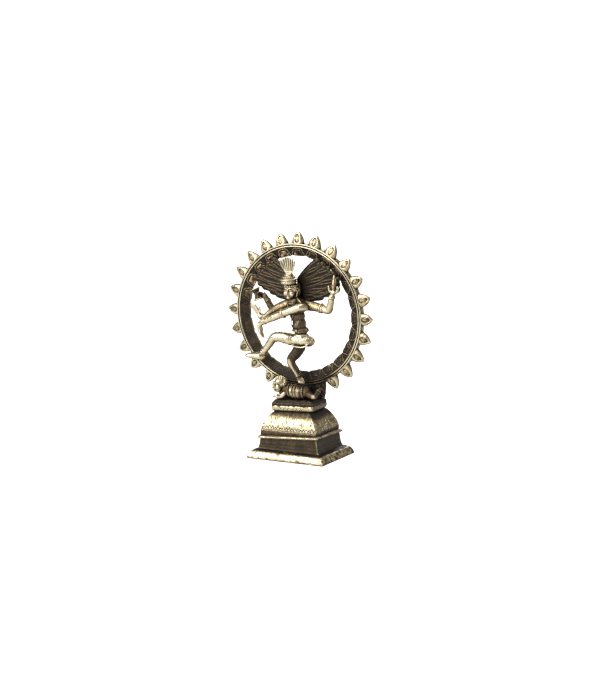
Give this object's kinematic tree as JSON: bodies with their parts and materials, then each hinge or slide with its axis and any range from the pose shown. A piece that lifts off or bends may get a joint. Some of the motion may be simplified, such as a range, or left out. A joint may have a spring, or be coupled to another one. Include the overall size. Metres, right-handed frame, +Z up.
{
  "type": "brass nataraja statue",
  "caption": "Small cast brass nataraja: a dancer with four arms inside a ring of flames, standing on a dwarf over a stepped pedestal.",
  "frame": {"origin": "on the ground, under the middle of the pedestal's foot slab", "axes": "+Z up, the dancer faces -Y, +X is the viewer's right when facing the statue"},
  "size_m": [0.067, 0.026, 0.0907],
  "materials": {
    "polished_brass": "hand-polished high spots with dark wax left in the hollows",
    "flame_brass": "filed and polished faces, dark sides",
    "aged_brass": "brown-black antique patina, worn on the edges",
    "steel_fixing": "plain"
  },
  "bodies": {
    "root": {"back_left_arm": "polished_brass", "back_right_arm": "aged_brass", "bell_moulding": "polished_brass", "crest_fan": "polished_brass", "crown": "polished_brass", "dado_block": "aged_brass", "dwarf_arm": "polished_brass", "dwarf_body": "aged_brass", "dwarf_head": "polished_brass", "dwarf_leg": "aged_brass", "fixing_screw": "steel_fixing", "fixing_washer": "steel_fixing", "flame_01": "flame_brass", "flame_02": "flame_brass", "flame_03": "flame_brass", "flame_04": "flame_brass", "flame_05": "flame_brass", "flame_06": "flame_brass", "flame_07": "flame_brass", "flame_08": "flame_brass", "flame_09": "flame_brass", "flame_10": "flame_brass", "flame_11": "flame_brass", "flame_12": "flame_brass", "flame_13": "flame_brass", "flame_14": "flame_brass", "flame_15": "flame_brass", "flame_16": "flame_brass", "flame_17": "flame_brass", "flame_18": "flame_brass", "flame_19": "flame_brass", "flame_20": "flame_brass", "flame_21": "flame_brass", "foot_slab": "polished_brass", "front_left_arm": "polished_brass", "front_right_arm": "polished_brass", "hair_fan_left": "aged_brass", "hair_fan_right": "aged_brass", "hand_drum": "aged_brass", "hand_flame": "polished_brass", "head": "polished_brass", "hip_cloth": "polished_brass", "ledge_plate": "polished_brass", "neck_roll": "polished_brass", "raised_leg": "polished_brass", "ring_band": "aged_brass", "ring_root": "aged_brass", "seat_plate": "aged_brass", "standing_leg": "aged_brass", "torso": "aged_brass"}
  },
  "joints": []
}
